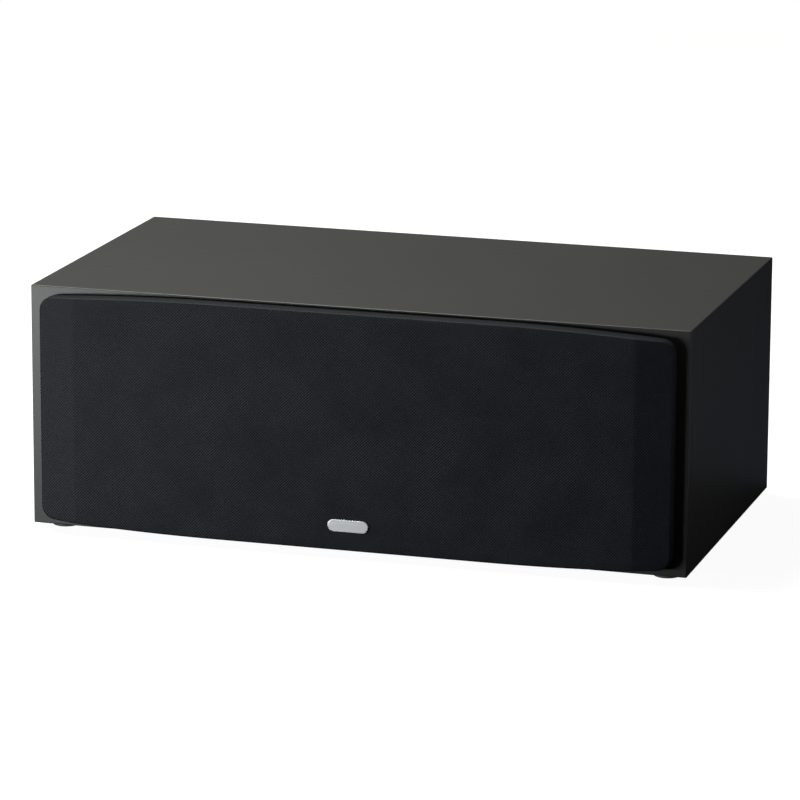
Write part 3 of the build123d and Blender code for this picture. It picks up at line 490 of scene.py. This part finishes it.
# Sintered ferrite: dark grey and dull
ferrite, tree, shader = finish("sintered_ferrite", "#2b2c2f", 0.7)
speckle(tree, shader, "#242528", "#34353a", 1.0, (0.6, 0.8))
dress(ferrite, "woofer_left_magnet", "woofer_right_magnet", "tweeter_magnet")

# Enamelled copper wire: brown-red, with fine turns along the winding's axis
copper, tree, shader = finish("enamelled_copper", "#b5683c", 0.3, Metallic=1.0)
place = add(tree, "ShaderNodeTexCoord").outputs["Object"]
turns = add(
    tree, "ShaderNodeTexWave", {"bands_direction": "Y"}, Vector=place, Scale=0.31 / (0.8 * MM)
)
winding = add(tree, "ShaderNodeBump", Strength=0.8, Distance=0.2 * MM, Height=turns.outputs["Fac"])
tree.links.new(winding.outputs[0], shader.inputs["Normal"])
dress(copper, "woofer_left_voice_coil", "woofer_right_voice_coil", "tweeter_coil", "crossover_coils")

# Coated silk of the dome: black satin
silk, tree, shader = finish("coated_silk", "#19191b", 0.38)
speckle(tree, shader, "#161618", "#1e1e21", 0.5, (0.32, 0.46))
dress(silk, "tweeter_dome", "tweeter_surround")

# Gold-plated brass: warm and polished, with faint turning marks
gold, tree, shader = finish("gold_plated_brass", "#d9ac55", 0.2, Metallic=1.0)
speckle(tree, shader, "#cfa04a", "#e2b964", 2.0, (0.14, 0.26), 0.005)
dress(gold, "post_positive", "post_negative", "insert_positive", "insert_negative")

# Glass-fibre laminate of the board: green, with a fine weave
laminate, tree, shader = finish("glass_fibre_laminate", "#2f6b3a", 0.4)
speckle(tree, shader, "#295f33", "#377643", 1.0, (0.34, 0.46))
dress(laminate, "crossover_board")

# Polyester film capacitors: glossy dark red
film, tree, shader = finish("polyester_film", "#7d221d", 0.25)
speckle(tree, shader, "#741e1a", "#862823", 3.0, (0.2, 0.3))
dress(film, "crossover_capacitors")

# Cement resistors: white ceramic, dull
ceramic, tree, shader = finish("fired_ceramic", "#d9d6cd", 0.8)
speckle(tree, shader, "#cfccc2", "#e3e0d8", 1.0, (0.72, 0.86))
dress(ceramic, "crossover_resistors")

# PVC lead sleeve: black, smooth
sleeve, tree, shader = finish("pvc_sleeve", "#202020", 0.45)
speckle(tree, shader, "#1c1c1c", "#262626", 2.0, (0.4, 0.5))
dress(sleeve, "wiring")


# Woofer cones: mica-filled polypropylene, satin, with fine moulding rings round each axis
def moulded_cone(name, centre_x, dark, light, ring, roughness):
    """Polypropylene with rings about one woofer's axis; the ring spacing is in millimetres."""
    material, tree, shader = finish(name, dark, roughness)
    place = add(tree, "ShaderNodeTexCoord").outputs["Object"]
    centred = add(
        tree, "ShaderNodeVectorMath", {"operation": "SUBTRACT"}, _0=place, _1=(centre_x, 0, MIDDLE)
    )
    flat = add(
        tree, "ShaderNodeVectorMath", {"operation": "MULTIPLY"}, _0=centred.outputs[0], _1=(1, 0, 1)
    )
    radius = add(tree, "ShaderNodeVectorMath", {"operation": "LENGTH"}, _0=flat.outputs[0])
    turn = add(
        tree,
        "ShaderNodeMath",
        {"operation": "MULTIPLY"},
        _0=radius.outputs["Value"],
        _1=2 * pi / (ring * MM),
    )
    rings = add(tree, "ShaderNodeMath", {"operation": "SINE"}, _0=turn.outputs[0])
    mica = add(tree, "ShaderNodeTexNoise", Vector=place, Scale=1 / (1.2 * MM), Detail=3.0)
    colour = add(
        tree,
        "ShaderNodeMix",
        {"data_type": "RGBA"},
        _0=mica.outputs["Fac"],
        _6=linear(dark),
        _7=linear(light),
    )
    relief = add(tree, "ShaderNodeBump", Strength=0.35, Distance=0.1 * MM, Height=rings.outputs[0])
    tree.links.new(colour.outputs[2], shader.inputs["Base Color"])
    tree.links.new(relief.outputs[0], shader.inputs["Normal"])
    return material


# Surrounds: butyl rubber in two halves that meet at the roll's crest; the outer half is on the cabinet, the
# inner half is given no body here
butyl, tree, shader = finish("butyl_rubber", "#141414", 0.5)
speckle(tree, shader, "#111111", "#191919", 1.2, (0.42, 0.58))


def roll_points(outer_half, steps=10):
    """One half of the surround's section, as radius and depth, from the crest's underside round to its top."""
    middle = (ROLL_OUTER + ROLL_INNER) / 2
    side = 1 if outer_half else -1
    edge = SURROUND_RADIUS if outer_half else LIP_INNER
    half = (ROLL_OUTER - ROLL_INNER) / 2
    under, over = [], []
    for step in range(steps + 1):
        angle = pi / 2 * step / steps
        low, high = half - RUBBER / 2, half + RUBBER / 2
        under.append((middle + side * low * sin(angle), SEAT_DEPTH - ROLL_HEIGHT * cos(angle)))
        over.append((middle + side * high * sin(angle), SEAT_DEPTH - RUBBER - ROLL_HEIGHT * cos(angle)))
    return under + [(edge, SEAT_DEPTH), (edge, SEAT_DEPTH - RUBBER)] + over[::-1]


for side, centre_x in (("left", -WOOFER_X), ("right", WOOFER_X)):
    dress(
        moulded_cone(f"polypropylene_{side}", centre_x, "#1d1d1f", "#29292b", 1.6, 0.42),
        f"woofer_{side}_cone",
    )
    dress(
        moulded_cone(f"glossy_cap_{side}", centre_x, "#17171a", "#1d1d20", 9.0, 0.22),
        f"woofer_{side}_dust_cap",
    )
    outer = new_piece(
        f"surround_outer_{side}",
        turned(f"surround_outer_{side}", centre_x, roll_points(True)),
        butyl,
        "cabinet",
    )
    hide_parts(f"woofer_{side}_surround")
    inner = new_piece(
        f"surround_inner_{side}",
        turned(f"surround_inner_{side}", centre_x, roll_points(False)),
        butyl,
        None,
    )
    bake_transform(inner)

# Spiders: phenolic-dipped cotton, amber with a coarse weave; the corrugations are cut in sectors, which are
# given no body here
dipped_cotton, tree, shader = finish("dipped_cotton", "#b98f3e", 0.8)
speckle(tree, shader, "#a67d31", "#c9a152", 0.8, (0.7, 0.9), 0.1)


def spider_points(steps=40):
    """The bending part's section, as radius and depth: its front from the rim inwards, then its back."""
    front = []
    for step in range(steps + 1):
        along = step / steps
        radius = SPIDER_WAVE_OUTER + (SPIDER_WAVE_INNER - SPIDER_WAVE_OUTER) * along
        front.append((radius, SPIDER_FRONT - SPIDER_WAVE * sin(SPIDER_ROLLS * pi * along)))
    front.append((SPIDER_INNER, SPIDER_FRONT))
    back = [(radius, depth + SPIDER_CLOTH) for radius, depth in reversed(front)]
    return front + back


spider_rim = [
    (SPIDER_WAVE_OUTER, SPIDER_FRONT + SPIDER_CLOTH),
    (SPIDER_RADIUS, SPIDER_FRONT + SPIDER_CLOTH),
    (SPIDER_RADIUS, SPIDER_FRONT),
    (SPIDER_WAVE_OUTER, SPIDER_FRONT),
]
half_sector = pi / SPIDER_SECTORS
for side, centre_x in (("left", -WOOFER_X), ("right", WOOFER_X)):
    name = f"spider_rim_{side}"
    rim = new_piece(name, turned(name, centre_x, spider_rim), dipped_cotton, "cabinet")
    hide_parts(f"woofer_{side}_spider")
    for number in range(SPIDER_SECTORS):
        angle = 2 * half_sector * number
        name = f"spider_{side}_sector_{number}"
        span = (angle - half_sector, angle + half_sector)
        mesh = turned(name, centre_x, spider_points(), 8, span=span)
        sector = new_piece(name, mesh, dipped_cotton, None)
        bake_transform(sector)

# Terminal knobs: glossy moulded plastic with finger flutes
knob_paints = {"positive": ("#a3161a", "#b21c20"), "negative": ("#141415", "#1b1b1c")}
rear_depth = REAR - FRONT
knob_section = [
    (KNOB_BORE, KNOB_SEAT),
    (KNOB_OUTER - 0.5 * MM, KNOB_SEAT),
    (KNOB_OUTER, KNOB_SEAT - 0.5 * MM),
    (KNOB_OUTER, KNOB_SEAT - 2.5 * MM),
    (KNOB_OUTER, KNOB_SEAT - 3.0 * MM),
    (KNOB_OUTER, KNOB_END + 1.6 * MM),
    (KNOB_OUTER - 0.15 * MM, KNOB_END + 0.9 * MM),
    (KNOB_OUTER - 0.5 * MM, KNOB_END + 0.3 * MM),
    (KNOB_OUTER - 1.1 * MM, KNOB_END),
    (KNOB_HOLE + 0.3 * MM, KNOB_END),
    (KNOB_HOLE, KNOB_END + 0.3 * MM),
    (KNOB_HOLE, KNOB_END + KNOB_CAP),
    (KNOB_BORE, KNOB_END + KNOB_CAP),
    (KNOB_BORE, KNOB_SEAT),
]
flute_start, flute_end = rear_depth - KNOB_SEAT + 2.8 * MM, rear_depth - KNOB_END - 1.0 * MM


def fluted(radius, depth, angle):
    """Draws the knob's outside in between its collar and its end, in flutes."""
    if radius < KNOB_OUTER - 0.2 * MM or not flute_start < depth < flute_end:
        return radius
    return radius - FLUTE_DEPTH * (0.5 + 0.5 * cos(FLUTES * angle)) ** 2


for sign, centre_x in (("positive", TERMINAL_X + POST_HALF), ("negative", TERMINAL_X - POST_HALF)):
    dark, light = knob_paints[sign]
    gloss, tree, shader = finish(f"gloss_abs_{sign}", dark, 0.25)
    speckle(tree, shader, dark, light, 2.5, (0.2, 0.32), 0.01)
    outline = [(radius, rear_depth - depth) for radius, depth in knob_section]
    knob = new_piece(
        f"fluted_knob_{sign}",
        turned(f"fluted_knob_{sign}", centre_x, outline, 160, fluted),
        gloss,
        f"terminal_knob_{sign}",
    )
    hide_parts(f"knob_{sign}")


# Panel screws: blackened steel, satin, with pan heads and cross recesses
def cross_edge(angle):
    """How far the cross recess reaches from its screw's axis in one direction."""
    off = (angle + pi / 4) % (pi / 2) - pi / 4
    if CROSS_REACH * abs(tan(off)) <= CROSS_HALF * 1.0001:
        return CROSS_REACH / cos(off)
    return CROSS_HALF / abs(sin(off))


def screw_rings(length):
    """A screw's rings from shank to recess: a radius or a function of the angle, and a height over the seat."""
    rings = [(SCREW_SHANK, SCREW_TIP - length), (SCREW_SHANK, 0), (SCREW_HEAD, 0)]
    for step in range(5):
        angle = pi / 2 * step / 4
        inset = SCREW_ROUND * (1 - cos(angle))
        rings.append((SCREW_HEAD - inset, SCREW_RISE - SCREW_ROUND * (1 - sin(angle))))
    rings.append((cross_edge, SCREW_RISE))
    rings.append((lambda angle: CROSS_TAPER * cross_edge(angle), SCREW_RISE - CROSS_DEPTH))
    return rings


def screw_set(name, seats):
    """All screws as one mesh; each seat is a point, the way out along Y and a length."""
    arm = atan(CROSS_HALF / CROSS_REACH)
    spread = [-pi / 4, -pi / 5, -pi / 7, -arm, 0, arm, pi / 7, pi / 5]
    angles = [quarter * pi / 2 + offset for quarter in range(4) for offset in spread]
    build = bmesh.new()
    for number, (x, y, z, out, length) in enumerate(seats):
        turn = SCREW_TURN * number
        rows = []
        for reach, rise in screw_rings(length):
            row = []
            for angle in angles:
                radius = reach(angle) if callable(reach) else reach
                place = (x + radius * cos(angle + turn), y + out * rise, z + radius * sin(angle + turn))
                row.append(build.verts.new(place))
            rows.append(row)
        point = build.verts.new((x, y - out * length, z))
        pit = build.verts.new((x, y + out * (SCREW_RISE - 1.2 * CROSS_DEPTH), z))
        for place in range(len(angles)):
            build.faces.new((point, rows[0][place - 1], rows[0][place]))
            build.faces.new((pit, rows[-1][place], rows[-1][place - 1]))
            for low, high in zip(rows, rows[1:]):
                build.faces.new((low[place - 1], low[place], high[place], high[place - 1]))
    bmesh.ops.recalc_face_normals(build, faces=build.faces)
    mesh = bpy.data.meshes.new(name)
    build.to_mesh(mesh)
    build.free()
    return mesh


seats = []
for centre_x, circle, count, start in (
    (-WOOFER_X, WOOFER_SCREW_CIRCLE, 6, 0),
    (0, TWEETER_SCREW_CIRCLE, 4, pi / 4),
    (WOOFER_X, WOOFER_SCREW_CIRCLE, 6, 0),
):
    for step in range(count):
        angle = start + 2 * pi * step / count
        seat_x, seat_z = centre_x + circle * cos(angle), MIDDLE + circle * sin(angle)
        seats.append((seat_x, FRONT, seat_z, -1, SCREW_LENGTH))
for side_x in (-CUP_SCREW[0], CUP_SCREW[0]):
    for side_z in (-CUP_SCREW[1], CUP_SCREW[1]):
        seats.append((TERMINAL_X + side_x, REAR - SCREW_RISE, MIDDLE + side_z, 1, CUP_SCREW_LENGTH))
blackened, tree, shader = finish("blackened_steel", "#2a2a2c", 0.36, Metallic=0.5)
speckle(tree, shader, "#252527", "#303032", 1.0, (0.3, 0.42), 0.01)
screws = new_piece("panel_screw_set", screw_set("panel_screw_set", seats), blackened, "cabinet")
screws.data.set_sharp_from_angle(angle=radians(40))
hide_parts("panel_screws")


# Floor and light: a pale studio floor, a soft lamp low on the left, a strong one above and two weak ones
# behind, with boards and cards round the object that set what it reflects; two of the cards glow with painted
# light
def flat_stage(name, width, depth, place, turn, material):
    """A flat rectangle of the studio."""
    bpy.ops.mesh.primitive_plane_add(size=1, location=place, rotation=turn)
    card = bpy.context.object
    card.name = name
    card.scale = (width, depth, 1)
    card.data.materials.append(material)
    return card


def background_rays(tree):
    """One for the rays that show the background: the camera's own, and those through glass or off gloss."""
    ray = add(tree, "ShaderNodeLightPath")
    seen = ray.outputs["Is Camera Ray"]
    for kind in ("Is Glossy Ray", "Is Transmission Ray"):
        seen = add(tree, "ShaderNodeMath", {"operation": "MAXIMUM"}, _0=seen, _1=ray.outputs[kind]).outputs[0]
    return seen


# Painted studio floor: matte, and white wherever it is seen
floor_paint, tree, shader = finish("studio_floor", "#7c7c7b", 0.9)
shader.inputs["Specular IOR Level"].default_value = 0.0
lift = add(tree, "ShaderNodeMath", {"operation": "MULTIPLY"}, _0=background_rays(tree), _1=0.95)
shader.inputs["Emission Color"].default_value = (1, 1, 1, 1)
tree.links.new(lift.outputs[0], shader.inputs["Emission Strength"])
flat_stage("floor", 16, 16, (0, 2, 0), (0, 0, 0), floor_paint)

# Black felt: takes nearly all the light, without gloss
dark_felt, tree, shader = finish("dark_felt", "#0a0a0a", 1.0)
shader.inputs["Specular IOR Level"].default_value = 0.0

# Grey felt: bluish and dim, without gloss
grey_felt, tree, shader = finish("grey_felt", "#373a45", 1.0)
shader.inputs["Specular IOR Level"].default_value = 0.0

# Graded card: no lamp lights it; it glows with painted light, bright on the left and fading to dark on the
# right
glowing_graded_card, tree, shader = finish("glowing_graded_card", "#202020", 1.0)
shader.inputs["Specular IOR Level"].default_value = 0.0
shader.inputs["Emission Color"].default_value = (1, 1, 1, 1)
place = add(tree, "ShaderNodeNewGeometry").outputs["Position"]
across = add(tree, "ShaderNodeSeparateXYZ", Vector=place)
fade = add(tree, "ShaderNodeMapRange", _0=across.outputs["X"], _1=-0.9, _2=0.7, _3=0.265, _4=0.0)
tree.links.new(fade.outputs[0], shader.inputs["Emission Strength"])

# White card: no lamp lights it; it glows with painted light, to brighten the right side a little from below
glowing_white_card, tree, shader = finish("glowing_white_card", "#d0d0d0", 1.0)
shader.inputs["Emission Color"].default_value = (1, 1, 1, 1)
shader.inputs["Emission Strength"].default_value = 1.5

boards = [
    flat_stage("near_board", 5.0, 2.65, (0.5, -1.175, 0.002), (0, 0, 0), dark_felt),
    flat_stage("front_board", 8.0, 4.0, (0, -4.6, 2.0), (radians(90), 0, 0), dark_felt),
    flat_stage("side_card", 0.5, 0.4, (0.72, -0.22, 0.004), (0, 0, 0), glowing_white_card),
    flat_stage("far_board", 3.6, 2.1, (1.45, 1.2, 0.002), (0, 0, 0), grey_felt),
    flat_stage("back_card", 6.6, 3.0, (-0.15, 2.2, 1.5), (radians(90), 0, 0), glowing_graded_card),
]
for board in boards:
    board.visible_camera = False
    board.visible_shadow = False


def soft_lamp(name, place, aim, width, height, power, colour):
    """A rectangular lamp that points at a spot on the object."""
    lamp = bpy.data.lights.new(name, "AREA")
    lamp.shape = "RECTANGLE"
    lamp.size, lamp.size_y, lamp.energy = width, height, power
    lamp.color = linear(colour)[:3]
    holder = bpy.data.objects.new(name, lamp)
    bpy.context.scene.collection.objects.link(holder)
    holder.location = place
    holder.visible_camera = False
    holder.rotation_euler = (Vector(aim) - Vector(place)).to_track_quat("-Z", "Y").to_euler()
    return holder


soft_lamp("key_lamp", (-0.69, -0.9, 0.065), (0.23, -0.13, 0.065), 0.6, 0.12, 15.5, "#fbfeff")
soft_lamp("top_lamp", (-0.55, 0.1, 1.5), (0, 0, 0.1), 0.8, 0.6, 44, "#fffff5")
soft_lamp("rear_lamp", (0.8, 1.2, 0.9), (0, 0, 0.1), 0.8, 0.8, 0.8, "#dde8ff")
back_lamp = soft_lamp("back_lamp", (-0.3, 1.4, 0.1), (0, 0.1, 0.1), 0.8, 0.15, 1.2, "#ffffff")
back_lamp.data.spread = radians(50)

world = bpy.data.worlds.new("studio")
bpy.context.scene.world = world
world.use_nodes = True
sky = world.node_tree
glow = add(
    sky,
    "ShaderNodeMix",
    {"data_type": "RGBA"},
    _0=background_rays(sky),
    _6=(0.05, 0.05, 0.05, 1),
    _7=(1, 1, 1, 1),
)
sky.links.new(glow.outputs[2], sky.nodes["Background"].inputs["Color"])

# Camera: a long lens, above and to the right of the front
camera = bpy.data.cameras.new("camera")
camera.lens = 208.3
camera.sensor_width = 36
camera.clip_end = 30
holder = bpy.data.objects.new("camera", camera)
bpy.context.scene.collection.objects.link(holder)
holder.location = (0.9390, -3.1264, 0.8790)
aim = Vector((-0.00525, 0.0071, 0.0824)) - holder.location
holder.rotation_mode = "QUATERNION"
holder.rotation_quaternion = aim.to_track_quat("-Z", "Y") @ Quaternion((0, 0, 1), radians(0.292))
bpy.context.scene.camera = holder
bpy.context.scene.view_settings.view_transform = "Standard"
